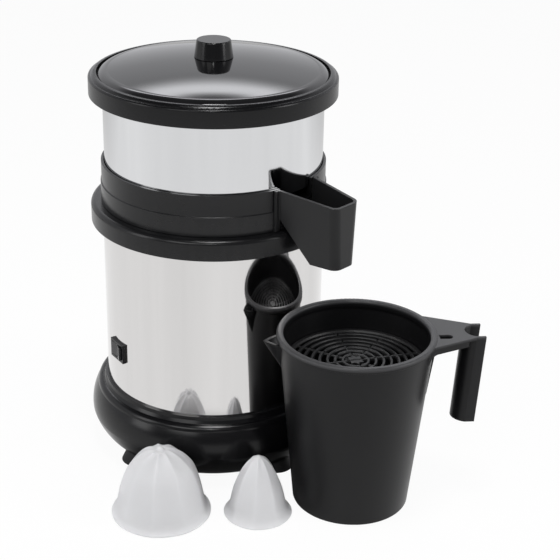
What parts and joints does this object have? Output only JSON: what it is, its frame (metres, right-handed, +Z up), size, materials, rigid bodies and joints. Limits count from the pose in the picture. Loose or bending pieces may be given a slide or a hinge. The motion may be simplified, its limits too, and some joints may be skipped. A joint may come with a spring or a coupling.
{
  "type": "citrus press juicer",
  "caption": "Upright electric citrus press: round motor housing, juice bowl with open chute, splash ring, domed lid with knob, jug with strainer, and ribbed reamers.",
  "frame": {"origin": "on the worktop under the motor axis, level with the soles of the feet", "axes": "+Z up along the motor axis, -Y towards the chute and jug, +X to the right seen from the chute side"},
  "size_m": [0.2811, 0.3577, 0.3674],
  "materials": {
    "black_plastic": "satin moulded black",
    "gloss_black": "high gloss black",
    "stainless": "polished stainless steel",
    "reamer_plastic": "light grey food plastic",
    "foot_rubber": "black rubber",
    "zinc_steel": "zinc plated",
    "lamination": "oiled steel sheet",
    "copper": "enamelled copper",
    "motor_alloy": "die cast",
    "bearing_steel": "ground steel",
    "brass": "bright",
    "capacitor_can": "drawn can"
  },
  "bodies": {
    "housing": {"base_shell": "black_plastic", "rubber_feet": "foot_rubber", "foot_screws": "zinc_steel", "cord_gland": "black_plastic", "body_tube": "stainless", "body_deck": "black_plastic", "tie_rods": "zinc_steel", "upper_endbell": "motor_alloy", "lower_endbell": "motor_alloy", "upper_bearing": "bearing_steel", "lower_bearing": "bearing_steel", "stator": "lamination", "windings": "copper", "motor_bolts": "zinc_steel", "shaft_seal": "foot_rubber", "capacitor": "capacitor_can", "capacitor_clip": "black_plastic", "terminal_block": "reamer_plastic", "switch_bezel": "gloss_black", "switch_terminals": "brass"},
    "spindle": {"motor_shaft": "bearing_steel", "rotor": "lamination", "cooling_fan": "black_plastic", "drive_hub": "zinc_steel", "drive_pin": "bearing_steel"},
    "bowl_unit": {"juice_bowl": "black_plastic", "juice_chute": "black_plastic"},
    "ring_unit": {"splash_ring": "stainless"},
    "lid_unit": {"lid_rim": "black_plastic", "lid_dome": "gloss_black", "lid_knob": "black_plastic", "knob_screw": "zinc_steel"},
    "rocker_unit": {"switch_rocker": "gloss_black"},
    "jug_unit": {"jug": "black_plastic"},
    "strainer_unit": {"jug_strainer": "black_plastic"},
    "large_reamer_unit": {"large_reamer": "reamer_plastic"},
    "small_reamer_unit": {"small_reamer": "reamer_plastic"}
  },
  "joints": [
    {"name": "spindle_turn", "type": "hinge", "parent": "housing", "child": "spindle", "pos_m": [0, 0, 0.2], "axis": [0, 0, 1], "continuous": true},
    {"name": "rocker_tip", "type": "hinge", "parent": "housing", "child": "rocker_unit", "pos_m": [-0.09292, 0.0249, 0.1048], "axis": [0, 0, 1], "range_deg": [0, 14]},
    {"name": "bowl_lift", "type": "slide", "parent": "housing", "child": "bowl_unit", "axis": [0, 0, 1], "range_m": [0, 0.08]},
    {"name": "ring_lift", "type": "slide", "parent": "bowl_unit", "child": "ring_unit", "axis": [0, 0, 1], "range_m": [0, 0.08]},
    {"name": "lid_lift", "type": "slide", "parent": "ring_unit", "child": "lid_unit", "axis": [0, 0, 1], "range_m": [0, 0.1]},
    {"name": "jug_slide", "type": "slide", "parent": "housing", "child": "jug_unit", "axis": [0, -1, 0], "range_m": [0, 0.15]},
    {"name": "strainer_lift", "type": "slide", "parent": "jug_unit", "child": "strainer_unit", "axis": [0, 0, 1], "range_m": [0, 0.06]},
    {"name": "large_reamer_lift", "type": "slide", "parent": "housing", "child": "large_reamer_unit", "axis": [-0.6306, -0.3199, 0.7071], "range_m": [0, 0.12]},
    {"name": "small_reamer_lift", "type": "slide", "parent": "housing", "child": "small_reamer_unit", "axis": [-0.3621, -0.6074, 0.7071], "range_m": [0, 0.12]}
  ]
}
